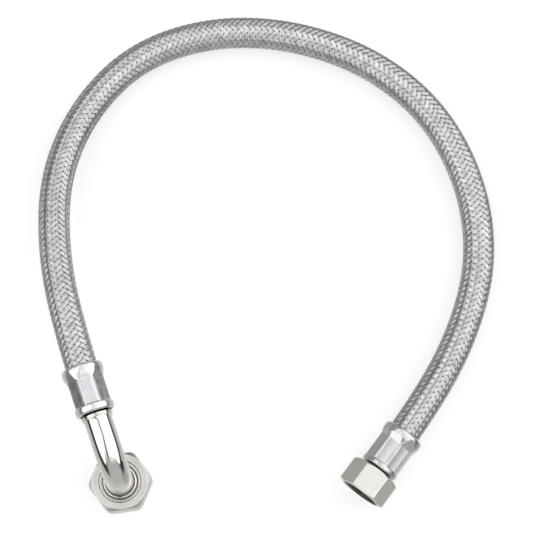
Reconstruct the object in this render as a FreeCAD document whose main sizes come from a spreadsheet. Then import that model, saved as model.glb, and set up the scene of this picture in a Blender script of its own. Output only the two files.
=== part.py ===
"""Braided supply line: a steel-braided rubber hose with a swivel nut at each end.

One end is a bent tube with a 3/4 inch nut, which stands mouth down on the floor.
The other is a straight tail with a 1/2 inch nut, which lies on its side.
Origin: the centre of the elbow nut's mouth. +Z is up, and all sizes are in millimetres.
"""
import FreeCAD, Part
import math
import os
import Sketcher

os.makedirs("parts", exist_ok=True)
doc = FreeCAD.newDocument("supply_line")
Vector = FreeCAD.Vector

# ---------------------------------------------------------------- driving dimensions
DIMENSIONS = {
    # hose: a rubber liner inside a sleeve of woven steel wire
    "liner_bore": (12.7, "inside diameter of the rubber liner"),
    "liner_outside": (16.1, "outside diameter of the rubber liner"),
    "braid_inside": (16.2, "inside diameter of the wire braid"),
    "braid_outside": (17.3, "outside diameter of the wire braid"),
    # ferrule: a stainless sleeve pressed onto the hose in an eight-sided die
    "elbow_sleeve_length": (26.0, "length of the elbow end's sleeve"),
    "straight_sleeve_length": (24.7, "length of the straight end's sleeve"),
    "ferrule_bell": (22.6, "diameter over the bell at the hose end"),
    "ferrule_shoulder": (21.0, "diameter over the shoulder at the fitting end"),
    "ferrule_ridges": (20.4, "diameter over the ridges between the pressed flats"),
    "ferrule_flats": (19.2, "distance across the pressed flats"),
    "crimp_length": (14.0, "length of the pressed flats"),
    "crimp_inset": (7.4, "from the sleeve's hose end to the pressed flats"),
    "ferrule_wall": (0.7, "thickness of the sleeve"),
    "ferrule_lip_bore": (14.3, "hole in the sleeve's fitting end"),
    "ferrule_mouth": (17.8, "hole in the sleeve's hose end"),
    "ferrule_gap": (0.05, "radial gap between a sleeve and the braid"),
    "shoulder_slope": (1.2, "length of the step from the shoulder down to the ridges"),
    "bell_lead": (0.7, "how far before the flats' end the ridges start to rise"),
    "bell_rise": (3.2, "from the flats' end to the bell's full width"),
    "bell_edge": (1.9, "length of the bell's turned-in edge"),
    "bell_turn": (1.4, "how far the bell's edge turns in, on the radius"),
    "bell_edge_inside": (2.3, "length of the turned-in edge inside the bell"),
    "bell_turn_inside": (0.9, "how far the inside of the edge turns in"),
    "bell_lead_inside": (0.4, "how far before the flats' end the bore starts to rise"),
    "bell_rise_inside": (3.4, "from the flats' end to the bore's full width"),
    # barbed shanks, the same inside both ends of the hose
    "shank_bore": (10.0, "water way through the shanks"),
    "shank_root": (11.8, "diameter between the barbs"),
    "shank_barb": (12.6, "diameter over the barbs"),
    "shank_stop": (16.6, "diameter of the flange that the hose butts against"),
    "shank_groove": (14.0, "neck that the ferrule's lip closes on"),
    "shank_reach": (21.5, "length of shank inside the hose"),
    "barb_pitch": (4.2, "distance from barb to barb"),
    "barb_lead": (1.4, "from the shank's end to its first barb"),
    "barb_back": (0.6, "length of a barb's steep side"),
    "barb_root": (1.6, "from a barb's foot back to the next barb"),
    "shank_edge": (0.3, "bevel at the shank's end, on the radius"),
    "stop_width": (0.8, "thickness of the flange that the hose butts against"),
    # bent tube
    "tube_outside": (15.0, "outside diameter of the bent tube"),
    "tube_bore": (13.0, "inside diameter of the bent tube"),
    "bend_radius": (21.5, "centreline radius of the bend"),
    "leg_height": (40.0, "height of the horizontal leg above the nut's mouth"),
    "tube_reach": (33.4, "from the nut's axis to the end of the horizontal leg"),
    "ring_face": (32.3, "from the nut's axis to the shank's ring"),
    "ring_width": (2.0, "width of the shank's ring"),
    "ring_outside": (17.0, "diameter of the shank's ring"),
    "ring_front_bevel": (0.5, "bevel on the ring's tube side"),
    "ring_back_bevel": (0.4, "bevel on the ring's ferrule side"),
    "elbow_sleeve": (35.2, "from the nut's axis to the ferrule's fitting end"),
    # elbow nut, 3/4 inch parallel pipe thread
    "big_flats": (30.0, "across flats of the elbow nut"),
    "big_bar": (33.3, "diameter over the elbow nut's corners"),
    "big_height": (16.5, "height of the elbow nut"),
    "big_minor": (24.117, "minor diameter of the 3/4 inch thread"),
    "big_major": (26.441, "major diameter of the 3/4 inch thread"),
    "big_sink": (0.8, "depth of the countersink at the elbow nut's mouth"),
    "big_web": (3.5, "thickness of the elbow nut's back wall"),
    "big_hole": (19.1, "hole in the elbow nut's back wall"),
    "big_flare": (22.4, "diameter of the flare around that hole"),
    # collar brazed on the bent tube's end, which the elbow nut pulls on
    "collar_neck": (19.0, "diameter of the collar in the nut's hole"),
    "collar_flange": (23.4, "diameter of the collar's flange"),
    "collar_seat": (10.5, "height of the sealing face above the nut's mouth"),
    "collar_top": (17.0, "height of the collar's shoulder above the nut's mouth"),
    "collar_bevel": (0.4, "bevel on the collar's flange"),
    "shoulder_drop": (1.1, "height of the bevel on the collar's shoulder"),
    "shoulder_inset": (0.9, "width of the bevel on the collar's shoulder"),
    "braze_width": (0.7, "width of the braze round the tube"),
    "braze_edge": (0.5, "height of the braze at its outside"),
    "braze_height": (1.2, "height of the braze against the tube"),
    # straight nut, 1/2 inch parallel pipe thread
    "small_flats": (24.0, "across flats of the straight nut"),
    "small_bar": (27.5, "diameter over the straight nut's corners"),
    "small_height": (14.9, "height of the straight nut"),
    "small_minor": (18.631, "minor diameter of the 1/2 inch thread"),
    "small_major": (20.955, "major diameter of the 1/2 inch thread"),
    "small_sink": (1.6, "depth of the countersink at the straight nut's mouth"),
    "small_web": (3.3, "thickness of the straight nut's back wall"),
    "small_hole": (15.1, "hole in the straight nut's back wall"),
    "small_flare": (17.0, "diameter of the flare around that hole"),
    # straight tail
    "tail_neck": (15.0, "diameter of the tail in the nut's hole"),
    "tail_flange": (18.2, "diameter of the tail's flange"),
    "tail_seat": (9.4, "depth of the sealing face below the nut's mouth"),
    "tail_bevel": (0.3, "bevel on the tail's flange"),
    "neck_start": (0.6, "from the ferrule back to where the neck narrows"),
    "neck_end": (0.3, "from the ferrule back to the narrow neck"),
    "straight_sleeve": (16.0, "from the nut's mouth to the ferrule's fitting end"),
    # shared
    "back_inset": (0.2, "how far inside the flats a nut's back chamfer starts"),
    "mouth_inset": (0.5, "how far inside the flats a nut's mouth chamfer starts"),
    "relief_depth": (0.1, "how far the relief goes past the thread's major radius"),
    "relief_lead": (0.3, "how far the relief behind the thread starts before the gasket"),
    "axial_play": (0.1, "gap between each nut's back wall and the flange it pulls on"),
    "hose_inset": (1.8, "from the ferrule's fitting end to the hose's end"),
    "gasket_thickness": (2.0, "thickness of both flat gaskets"),
    "big_gasket_hole": (16.0, "hole in the elbow gasket"),
    "small_gasket_hole": (11.0, "hole in the straight gasket"),
    "gasket_outside_gap": (0.25, "radial gap between a gasket and its thread"),
}

sheet = doc.addObject("Spreadsheet::Sheet", "Sheet")
for row, (alias, (value, meaning)) in enumerate(DIMENSIONS.items(), start=1):
    sheet.set("A%d" % row, meaning)
    sheet.set("B%d" % row, str(value))
    sheet.setAlias("B%d" % row, alias)
doc.recompute()


def size(alias):
    """The value of one driving dimension."""
    return float(sheet.get(alias))


# ---------------------------------------------------------------- where things lie
# The hose's route, from the hose's end in the elbow ferrule to its end in the straight
# ferrule. It leaves level, comes down to the floor and lies there in one open loop.
FLOOR_RUN = 8.7
NUT_SIDE = 12.42
ROUTE = [
    (-11.973, 35.009, 40.0),
    (-26.591, 77.75, 40.0),
    (-37.2, 124.0, 31.0),
    (-38.2, 170.0, 17.0),
    (-23.2, 210.3, FLOOR_RUN),
    (5.5, 240.5, FLOOR_RUN),
    (47.0, 255.0, FLOOR_RUN),
    (92.0, 253.5, FLOOR_RUN),
    (136.5, 237.5, FLOOR_RUN),
    (171.0, 208.5, FLOOR_RUN),
    (191.4, 168.5, FLOOR_RUN),
    (197.0, 126.0, FLOOR_RUN),
    (187.0, 85.0, FLOOR_RUN),
    (165.0, 43.1, NUT_SIDE),
    (138.96, 8.38, NUT_SIDE),
]
route = [Vector(*point) for point in ROUTE]
elbow_way = (route[1] - route[0]).normalize()
straight_way = (route[-2] - route[-1]).normalize()
leg_start = Vector(0, 0, size("leg_height"))
mouth = route[-1] - straight_way * (size("straight_sleeve") + size("hose_inset"))


def heading(way):
    """Angle of a level direction about +Z, in degrees."""
    return math.degrees(math.atan2(way.y, way.x))


def along(way, base, spin=0.0):
    """Placement that lays local +Z along a level direction, after a spin about local +Z."""
    turn = FreeCAD.Rotation(Vector(0, 0, 1), heading(way))
    lay = FreeCAD.Rotation(Vector(0, 1, 0), 90)
    twist = FreeCAD.Rotation(Vector(0, 0, 1), spin)
    return FreeCAD.Placement(base, turn * lay * twist)


def upright(spin=0.0):
    """Placement that keeps local +Z vertical over the origin."""
    return FreeCAD.Placement(Vector(0, 0, 0), FreeCAD.Rotation(Vector(0, 0, 1), spin))


# ---------------------------------------------------------------- building blocks
def origin_plane(body, role):
    """One of the body's own origin planes, found by its role."""
    return next(item for item in body.Origin.OriginFeatures if item.Role == role)


def new_body(label):
    body = doc.addObject("PartDesign::Body", label)
    body.Label = label
    return body


def new_sketch(body, name, role="XZ_Plane"):
    sketch = body.newObject("Sketcher::SketchObject", name)
    sketch.AttachmentSupport = (origin_plane(body, role), [""])
    sketch.MapMode = "FlatFace"
    return sketch


def evaluate(expression):
    """The value of a sheet expression, to draw a vertex near its constrained place."""
    return float(sheet.evalExpression(expression))


def place_vertex(sketch, edge, end, across=None, up=None):
    """Hold one vertex of a sketch at a pair of sheet expressions, or at one of them."""
    for kind, expression in (("DistanceX", across), ("DistanceY", up)):
        if expression is None:
            continue
        value = evaluate(expression)
        index = sketch.addConstraint(Sketcher.Constraint(kind, -1, 1, edge, end, value))
        sketch.setExpression("Constraints[%d]" % index, expression)


def outline(body, name, corners):
    """A closed outline of straight edges in the XZ plane, its corners sheet expressions."""
    sketch = new_sketch(body, name)
    points = [Vector(evaluate(across), evaluate(up), 0) for across, up in corners]
    for index, start in enumerate(points):
        end = points[(index + 1) % len(points)]
        sketch.addGeometry(Part.LineSegment(start, end), False)
    for index in range(len(points)):
        following = (index + 1) % len(points)
        sketch.addConstraint(Sketcher.Constraint("Coincident", index, 2, following, 1))
    for index, (across, up) in enumerate(corners):
        place_vertex(sketch, index, 1, across, up)
    return sketch


def turn_solid(body, name, corners):
    """Material turned about the body's Z axis."""
    sketch = outline(body, name + "_profile", corners)
    feature = body.newObject("PartDesign::Revolution", name)
    feature.Profile = sketch
    feature.ReferenceAxis = (sketch, ["V_Axis"])
    feature.Angle = 360
    doc.recompute()
    return feature


def turn_away(body, name, corners):
    """Material turned off about the body's Z axis, checked by volume."""
    before = body.Shape.Volume
    sketch = outline(body, name + "_profile", corners)
    feature = body.newObject("PartDesign::Groove", name)
    feature.Profile = sketch
    feature.ReferenceAxis = (sketch, ["V_Axis"])
    feature.Angle = 360
    doc.recompute()
    if not body.Shape.Volume < before - 1e-3:
        raise RuntimeError(name + " removes nothing")
    return feature


def round_edges(body, name, radius, wanted):
    """Fillet the edges of the body that pass a test on their own geometry."""
    base = body.Tip
    names = []
    for index, edge in enumerate(base.Shape.Edges, start=1):
        if wanted(edge):
            names.append("Edge%d" % index)
    if not names:
        raise RuntimeError(name + " finds no edge")
    feature = body.newObject("PartDesign::Fillet", name)
    feature.Base = (base, names)
    feature.Radius = radius
    doc.recompute()
    return feature


def ring_at(height, diameter, slack=0.02):
    """Test for a circular edge about local Z, at one height and diameter."""
    def test(edge):
        curve = edge.Curve
        if not isinstance(curve, Part.Circle):
            return False
        level = abs(curve.Center.z - height) < slack
        return level and abs(curve.Radius * 2 - diameter) < slack
    return test


# ---------------------------------------------------------------- ferrules
CRIMP_COUNT = 8
END_ROUND = 1.6          # rounding of the fitting end, at most
END_ROUND_SHARE = 0.8    # that rounding as a share of a short shoulder
JAW_WIDTH = 12.0         # each crimping jaw, wider than one flat
JAW_CLEARANCE = 2.0      # how far a jaw reaches outside the bell
JAW_OPENING = 0.1        # how far a jaw's sloping ends stand off the sleeve
JAW_LEAD = 0.7           # length of the jaw's slope at the shoulder


def make_ferrule(label, length_alias, placement):
    """Crimped sleeve: local Z runs from its fitting end to its hose end."""
    body = new_body(label)
    length = "Sheet." + length_alias
    shoulder, ridges = "Sheet.ferrule_shoulder/2", "Sheet.ferrule_ridges/2"
    wall, bell = "Sheet.ferrule_wall", "Sheet.ferrule_bell/2"
    bore = "Sheet.braid_outside/2+Sheet.ferrule_gap"
    inner = bell + "-" + wall
    flats_end = length + "-Sheet.crimp_inset"
    flats_start = flats_end + "-Sheet.crimp_length"
    turn_solid(body, label + "_sleeve", [
        ("Sheet.ferrule_lip_bore/2", "0"),
        (shoulder, "0"),
        (shoulder, flats_start + "-Sheet.shoulder_slope"),
        (ridges, flats_start),
        (ridges, flats_end + "-Sheet.bell_lead"),
        (bell, flats_end + "+Sheet.bell_rise"),
        (bell, length + "-Sheet.bell_edge"),
        (bell + "-Sheet.bell_turn", length),
        ("Sheet.ferrule_mouth/2", length),
        ("Sheet.ferrule_mouth/2", length + "-" + wall),
        (inner + "-Sheet.bell_turn_inside", length + "-" + wall),
        (inner, length + "-Sheet.bell_edge_inside"),
        (inner, flats_end + "+Sheet.bell_rise_inside"),
        (bore, flats_end + "-Sheet.bell_lead_inside"),
        (bore, wall),
        ("Sheet.ferrule_lip_bore/2", wall),
    ])
    shoulder_length = evaluate(flats_start) - size("shoulder_slope")
    end_round = min(END_ROUND, END_ROUND_SHARE * shoulder_length)
    round_edges(body, label + "_end_round", end_round, ring_at(0, size("ferrule_shoulder")))
    before = body.Shape.Volume
    jaw_back = "%s+%.1f" % (bell, JAW_CLEARANCE)
    jaw_foot = "%s-%.1f" % (flats_start, JAW_LEAD)
    jaw_top = flats_end + "+Sheet.bell_rise_inside"
    jaw = outline(body, label + "_jaw_profile", [
        ("Sheet.ferrule_flats/2", flats_start),
        ("Sheet.ferrule_flats/2", flats_end),
        ("%s+%.1f" % (bell, JAW_OPENING), jaw_top),
        (jaw_back, jaw_top),
        (jaw_back, jaw_foot),
        ("%s+%.1f" % (shoulder, JAW_OPENING), jaw_foot),
    ])
    press = body.newObject("PartDesign::Pocket", label + "_jaw")
    press.Profile = jaw
    press.Midplane = True
    press.Length = JAW_WIDTH
    doc.recompute()
    if not body.Shape.Volume < before - 1:
        raise RuntimeError("the crimping jaw misses " + label)
    ring = body.newObject("PartDesign::PolarPattern", label + "_crimp")
    ring.Originals = [press]
    ring.Axis = (jaw, ["V_Axis"])
    ring.Angle = 360
    ring.Occurrences = CRIMP_COUNT
    body.Tip = ring
    doc.recompute()
    body.Placement = placement
    return body


# ---------------------------------------------------------------- barbed shanks
BARB_COUNT = 4


def barb_corners(start):
    """The outside of the barbed stretch, from the end of the shank back to its flange."""
    reach = start + "+Sheet.shank_reach"
    barb, root = "Sheet.shank_barb/2", "Sheet.shank_root/2"
    corners = [("Sheet.shank_bore/2", reach), (root + "-Sheet.shank_edge", reach)]
    for index in range(BARB_COUNT):
        peak = "%s-Sheet.barb_lead-%d*Sheet.barb_pitch" % (reach, index)
        corners.append((barb, peak))
        corners.append((root, peak + "-Sheet.barb_back"))
        if index < BARB_COUNT - 1:
            corners.append((root, peak + "-Sheet.barb_pitch+Sheet.barb_root"))
    corners.append((root, start))
    return corners


def make_elbow_shank():
    """Barbed insert: a ring with a socket for the tube, a groove, a stop and the barbs."""
    body = new_body("elbow_shank")
    ring = "Sheet.ring_outside/2"
    groove = "Sheet.ring_face+Sheet.ring_width"
    hose = "Sheet.elbow_sleeve+Sheet.hose_inset"
    corners = [
        ("Sheet.shank_bore/2", "Sheet.tube_reach"),
        ("Sheet.tube_outside/2", "Sheet.tube_reach"),
        ("Sheet.tube_outside/2", "Sheet.ring_face"),
        (ring + "-Sheet.ring_front_bevel", "Sheet.ring_face"),
        (ring, "Sheet.ring_face+Sheet.ring_front_bevel"),
        (ring, groove + "-Sheet.ring_back_bevel"),
        (ring + "-Sheet.ring_back_bevel", groove),
        ("Sheet.shank_groove/2", groove),
        ("Sheet.shank_groove/2", hose + "-Sheet.stop_width"),
        ("Sheet.shank_stop/2", hose + "-Sheet.stop_width"),
        ("Sheet.shank_stop/2", hose),
    ]
    corners += reversed(barb_corners(hose))
    turn_solid(body, "elbow_shank_turned", corners)
    body.Placement = along(elbow_way, leg_start)
    return body


def make_straight_tail():
    """Straight barbed tail: the flange that the nut pulls on, its neck, stop and barbs."""
    body = new_body("straight_tail")
    seat = "Sheet.tail_seat"
    back = "Sheet.small_height-Sheet.small_web-Sheet.axial_play"
    sleeve = "Sheet.straight_sleeve"
    hose = sleeve + "+Sheet.hose_inset"
    corners = [
        ("Sheet.shank_bore/2", seat),
        ("Sheet.tail_flange/2-Sheet.tail_bevel", seat),
        ("Sheet.tail_flange/2", seat + "+Sheet.tail_bevel"),
        ("Sheet.tail_flange/2", back),
        ("Sheet.tail_neck/2", back),
        ("Sheet.tail_neck/2", sleeve + "-Sheet.neck_start"),
        ("Sheet.shank_groove/2", sleeve + "-Sheet.neck_end"),
        ("Sheet.shank_groove/2", hose + "-Sheet.stop_width"),
        ("Sheet.shank_stop/2", hose + "-Sheet.stop_width"),
        ("Sheet.shank_stop/2", hose),
    ]
    corners += reversed(barb_corners(hose))
    turn_solid(body, "straight_tail_turned", corners)
    body.Placement = along(straight_way, mouth)
    return body


# ---------------------------------------------------------------- bent tube and collar
def make_elbow_tube():
    """Bent tube: up from the sealing face, round the bend, and level into the shank."""
    body = new_body("elbow_tube")
    path = new_sketch(body, "elbow_tube_path")
    bend, level = size("bend_radius"), size("leg_height")
    foot, reach = size("collar_seat"), size("tube_reach")
    centre = Vector(bend, level - bend, 0)
    path.addGeometry(Part.LineSegment(Vector(0, foot, 0), Vector(0, level - bend, 0)), False)
    circle = Part.Circle(centre, Vector(0, 0, 1), bend)
    path.addGeometry(Part.ArcOfCircle(circle, math.pi / 2, math.pi), False)
    path.addGeometry(Part.LineSegment(Vector(bend, level, 0), Vector(reach, level, 0)), False)
    path.addConstraint(Sketcher.Constraint("Coincident", 0, 2, 1, 2))
    path.addConstraint(Sketcher.Constraint("Coincident", 1, 1, 2, 1))
    place_vertex(path, 0, 1, "0", "Sheet.collar_seat")
    place_vertex(path, 0, 2, "0", "Sheet.leg_height-Sheet.bend_radius")
    place_vertex(path, 1, 3, "Sheet.bend_radius", "Sheet.leg_height-Sheet.bend_radius")
    place_vertex(path, 2, 1, across="Sheet.bend_radius")
    place_vertex(path, 2, 2, across="Sheet.tube_reach")
    path.addConstraint(Sketcher.Constraint("Horizontal", 2))
    section = new_sketch(body, "elbow_tube_section", "XY_Plane")
    section.setExpression("AttachmentOffset.Base.z", "Sheet.collar_seat")
    for alias in ("tube_outside", "tube_bore"):
        ring = Part.Circle(Vector(0, 0, 0), Vector(0, 0, 1), size(alias) / 2)
        edge = section.addGeometry(ring, False)
        section.addConstraint(Sketcher.Constraint("Coincident", edge, 3, -1, 1))
        index = section.addConstraint(Sketcher.Constraint("Diameter", edge, size(alias)))
        section.setExpression("Constraints[%d]" % index, "Sheet." + alias)
    doc.recompute()
    pipe = body.newObject("PartDesign::AdditivePipe", "elbow_tube_pipe")
    pipe.Profile = section
    pipe.Spine = (path, ["Edge1", "Edge2", "Edge3"])
    doc.recompute()
    body.Placement = upright(heading(elbow_way))
    return body


def make_elbow_collar():
    """Collar brazed round the tube's foot: flange inside the nut, neck through its hole."""
    body = new_body("elbow_collar")
    back = "Sheet.big_height-Sheet.big_web-Sheet.axial_play"
    top = "Sheet.collar_top"
    tube = "Sheet.tube_outside/2"
    turn_solid(body, "elbow_collar_turned", [
        (tube, "Sheet.collar_seat"),
        ("Sheet.collar_flange/2-Sheet.collar_bevel", "Sheet.collar_seat"),
        ("Sheet.collar_flange/2", "Sheet.collar_seat+Sheet.collar_bevel"),
        ("Sheet.collar_flange/2", back),
        ("Sheet.collar_neck/2", back),
        ("Sheet.collar_neck/2", top + "-Sheet.shoulder_drop"),
        ("Sheet.collar_neck/2-Sheet.shoulder_inset", top),
        (tube + "+Sheet.braze_width", top),
        (tube + "+Sheet.braze_width", top + "+Sheet.braze_edge"),
        (tube, top + "+Sheet.braze_height"),
    ])
    body.Placement = upright()
    return body


# ---------------------------------------------------------------- swivel nuts
BACK_CHAMFER = 30        # angle of the chamfer on a nut's back corners, in degrees
MOUTH_CHAMFER = 20       # angle of the chamfer on its mouth's corners
FLARE_SLOPE = 0.8        # depth of the flare round the back hole over its width
OVERCUT = 1.0            # how far a cut runs on outside the material


def make_nut(label, kind, seat, placement):
    """Hexagon swivel nut: mouth at local Z = 0, back wall at its full height."""
    body = new_body(label)
    name = "Sheet." + kind
    height, flats = name + "_height", name + "_flats/2"
    corner = name + "_flats/2/cos(30)"
    prism = body.newObject("PartDesign::AdditivePrism", label + "_hexagon")
    prism.Polygon = 6
    prism.setExpression("Circumradius", corner)
    prism.setExpression("Height", height)
    doc.recompute()
    flat = size(kind + "_flats") / 2
    far = flat / math.cos(math.radians(30)) + OVERCUT
    outside = "%.4f" % far
    above = "%s+%.1f" % (height, OVERCUT)
    below = "%.1f" % -OVERCUT
    back_drop = (far - flat + size("back_inset")) * math.tan(math.radians(BACK_CHAMFER))
    turn_away(body, label + "_back_chamfer", [
        (flats + "-Sheet.back_inset", height),
        (flats + "-Sheet.back_inset", above),
        (outside, above),
        (outside, "%s-%.4f" % (height, back_drop)),
    ])
    bar = name + "_bar/2"
    turn_away(body, label + "_corners", [
        (bar, below),
        (outside, below),
        (outside, above),
        (bar, above),
    ])
    mouth_drop = (far - flat + size("mouth_inset")) * math.tan(math.radians(MOUTH_CHAMFER))
    turn_away(body, label + "_mouth_chamfer", [
        (flats + "-Sheet.mouth_inset", "0"),
        (outside, "%.4f" % mouth_drop),
        (outside, "0"),
    ])
    web = height + "-" + name + "_web"
    relief = seat + "-Sheet.gasket_thickness-Sheet.relief_lead"
    flare_foot = "%s-(%s_flare-%s_hole)/2*%.1f" % (height, name, name, FLARE_SLOPE)
    turn_away(body, label + "_bore", [
        ("0", "0"),
        (name + "_minor/2+" + name + "_sink", "0"),
        (name + "_minor/2", name + "_sink"),
        (name + "_minor/2", relief),
        (name + "_major/2+Sheet.relief_depth", relief),
        (name + "_major/2+Sheet.relief_depth", web),
        (name + "_hole/2", web),
        (name + "_hole/2", flare_foot),
        (name + "_flare/2", height),
        ("0", height),
    ])
    body.Placement = placement
    return body


def make_gasket(label, kind, seat, placement):
    """Flat washer against a sealing face that lies at local Z = seat."""
    body = new_body(label)
    outside = "Sheet.%s_minor/2-Sheet.gasket_outside_gap" % kind
    hole = "Sheet.%s_gasket_hole/2" % kind
    turn_solid(body, label + "_washer", [
        (hole, seat + "-Sheet.gasket_thickness"),
        (outside, seat + "-Sheet.gasket_thickness"),
        (outside, seat),
        (hole, seat),
    ])
    body.Placement = placement
    return body


# ---------------------------------------------------------------- hose
ARC_SHARE = 0.45         # how much of the shorter run beside a corner its arc takes up


def route_edges(points):
    """Straight runs joined by tangent arcs, each as large as its two runs allow."""
    edges = []
    last = points[0]
    radii = []
    for before, corner, after in zip(points, points[1:], points[2:]):
        back = before - corner
        ahead = after - corner
        shorter = min(back.Length, ahead.Length)
        turn = math.pi - back.getAngle(ahead)
        reach = ARC_SHARE * shorter
        radii.append(reach / math.tan(turn / 2))
        start = corner + back.normalize() * reach
        end = corner + ahead.normalize() * reach
        inward = (back + ahead).normalize()
        depth = radii[-1] / math.cos(turn / 2) - radii[-1]
        middle = corner + inward * depth
        edges.append(Part.LineSegment(last, start).toShape())
        edges.append(Part.Arc(start, middle, end).toShape())
        last = end
    edges.append(Part.LineSegment(last, points[-1]).toShape())
    return edges, radii


def make_hose_tube(label, outside, inside, path):
    """One layer of the hose: a tube along the whole route."""
    count = len(path.Shape.Edges)
    spine = (path, ["Edge%d" % (index + 1) for index in range(count)])
    sweeps = []
    for alias in (outside, inside):
        ring = doc.addObject("Part::Circle", "%s_%s_ring" % (label, alias))
        ring.setExpression("Radius", "Sheet.%s/2" % alias)
        ring.Placement = along(elbow_way, route[0])
        sweep = doc.addObject("Part::Sweep", "%s_%s_sweep" % (label, alias))
        sweep.Sections = [ring]
        sweep.Spine = spine
        sweep.Solid = True
        sweep.Frenet = False
        sweeps.append(sweep)
    tube = doc.addObject("Part::Cut", label)
    tube.Base, tube.Tool = sweeps
    tube.Label = label
    doc.recompute()
    section = math.pi * (size(outside) ** 2 - size(inside) ** 2) / 4
    expected = section * path.Shape.Length
    print("%s volume %.0f, section x length %.0f" % (label, tube.Shape.Volume, expected))
    if abs(tube.Shape.Volume / expected - 1) > 0.01:
        raise RuntimeError(label + " has the wrong volume")
    return tube


edges, radii = route_edges(route)
hose_path = doc.addObject("Part::Feature", "hose_path")
hose_path.Shape = Part.Wire(edges)
print("hose length %.1f mm" % hose_path.Shape.Length)
print("bend radii " + " ".join("%.0f" % radius for radius in radii))

# ---------------------------------------------------------------- the assembly
ELBOW_CRIMP_SPIN = 3.0
STRAIGHT_CRIMP_SPIN = -9.5
ELBOW_NUT_SPIN = 8.0
STRAIGHT_NUT_SPIN = 33.5

subparts = [
    make_hose_tube("inner_liner", "liner_outside", "liner_bore", hose_path),
    make_hose_tube("wire_braid", "braid_outside", "braid_inside", hose_path),
    make_ferrule("elbow_ferrule", "elbow_sleeve_length", along(
        elbow_way, leg_start + elbow_way * size("elbow_sleeve"), ELBOW_CRIMP_SPIN)),
    make_elbow_shank(),
    make_elbow_tube(),
    make_elbow_collar(),
    make_nut("elbow_nut", "big", "Sheet.collar_seat", upright(ELBOW_NUT_SPIN)),
    make_gasket("elbow_gasket", "big", "Sheet.collar_seat", upright()),
    make_ferrule("straight_ferrule", "straight_sleeve_length", along(
        straight_way, mouth + straight_way * size("straight_sleeve"), STRAIGHT_CRIMP_SPIN)),
    make_straight_tail(),
    make_nut("straight_nut", "small", "Sheet.tail_seat",
             along(straight_way, mouth, STRAIGHT_NUT_SPIN)),
    make_gasket("straight_gasket", "small", "Sheet.tail_seat", along(straight_way, mouth)),
]
doc.recompute()

# ---------------------------------------------------------------- checks and export
for item in doc.Objects:
    if "Invalid" in item.State or "Error" in item.State:
        raise RuntimeError("%s is in state %s" % (item.Name, item.State))
for part in subparts:
    shape = part.Shape
    if shape.isNull() or not shape.isValid():
        raise RuntimeError(part.Label + " has no valid shape")
for part in subparts:
    part.Shape.exportStep("parts/%s.step" % part.Label)
    box = part.Shape.BoundBox
    print("%-16s solids %d volume %8.0f  z %.2f to %.2f" % (
        part.Label, len(part.Shape.Solids), part.Shape.Volume, box.ZMin, box.ZMax))
print("straight nut's mouth at %.2f %.2f %.2f" % tuple(mouth))
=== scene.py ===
"""Looks of the braided supply line: woven steel hose, crimped ferrules, chrome elbow, nickel nuts."""
from collections import namedtuple
import math

import bpy
import numpy as np
from mathutils import Matrix, Vector


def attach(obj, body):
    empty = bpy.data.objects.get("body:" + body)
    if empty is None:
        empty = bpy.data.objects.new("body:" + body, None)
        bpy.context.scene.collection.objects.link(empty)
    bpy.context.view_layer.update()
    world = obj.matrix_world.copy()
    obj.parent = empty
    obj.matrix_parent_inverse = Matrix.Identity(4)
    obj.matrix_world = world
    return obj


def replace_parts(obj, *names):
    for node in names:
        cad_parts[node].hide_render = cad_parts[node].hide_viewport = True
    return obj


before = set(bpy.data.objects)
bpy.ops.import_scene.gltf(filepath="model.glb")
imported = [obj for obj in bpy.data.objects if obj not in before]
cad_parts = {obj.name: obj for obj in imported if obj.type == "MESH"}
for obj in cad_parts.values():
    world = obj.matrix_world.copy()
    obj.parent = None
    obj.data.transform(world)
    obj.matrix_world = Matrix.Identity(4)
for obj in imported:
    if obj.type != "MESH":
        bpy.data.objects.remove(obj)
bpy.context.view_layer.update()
scene = bpy.context.scene
MM = 0.001

# ---------------------------------------------------------------- camera
TARGET = Vector((0.0782, 0.11914, 0.009))
CAMERA_ELEVATION = math.radians(77.5)
CAMERA_DISTANCE = 1.1
LENS = 135.08
out = Vector((0, -math.cos(CAMERA_ELEVATION), math.sin(CAMERA_ELEVATION)))
camera = bpy.data.objects.new("camera", bpy.data.cameras.new("camera"))
scene.collection.objects.link(camera)
camera.location = TARGET + out * CAMERA_DISTANCE
camera.rotation_euler = (-out).to_track_quat("-Z", "Y").to_euler()
camera.data.lens = LENS
camera.data.sensor_width = 36.0
camera.data.clip_start = 0.01
camera.data.clip_end = 50.0
scene.camera = camera

# ---------------------------------------------------------------- the hose's line
FLOOR_RUN = 0.0087       # height of the hose's centre where it lies on the floor
NUT_SIDE = 0.01242       # height of the straight nut's axis, lying on its side
ROUTE = [
    (-0.011973, 0.035009, 0.0400),
    (-0.026591, 0.07775, 0.0400),
    (-0.0372, 0.1240, 0.0310),
    (-0.0382, 0.1700, 0.0170),
    (-0.0232, 0.2103, FLOOR_RUN),
    (0.0055, 0.2405, FLOOR_RUN),
    (0.0470, 0.2550, FLOOR_RUN),
    (0.0920, 0.2535, FLOOR_RUN),
    (0.1365, 0.2375, FLOOR_RUN),
    (0.1710, 0.2085, FLOOR_RUN),
    (0.1914, 0.1685, FLOOR_RUN),
    (0.1970, 0.1260, FLOOR_RUN),
    (0.1870, 0.0850, FLOOR_RUN),
    (0.1650, 0.0431, NUT_SIDE),
    (0.13896, 0.00838, NUT_SIDE),
]
line = bpy.data.curves.new("hose_line", "CURVE")
line.dimensions = "3D"
spline = line.splines.new("NURBS")
spline.points.add(len(ROUTE) - 1)
for point, place in zip(spline.points, ROUTE):
    point.co = (*place, 1.0)
spline.order_u = 3
spline.use_endpoint_u = True
spline.resolution_u = 48
line_object = bpy.data.objects.new("hose_line", line)
scene.collection.objects.link(line_object)
bpy.context.view_layer.update()
line_mesh = bpy.data.meshes.new_from_object(line_object)
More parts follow.
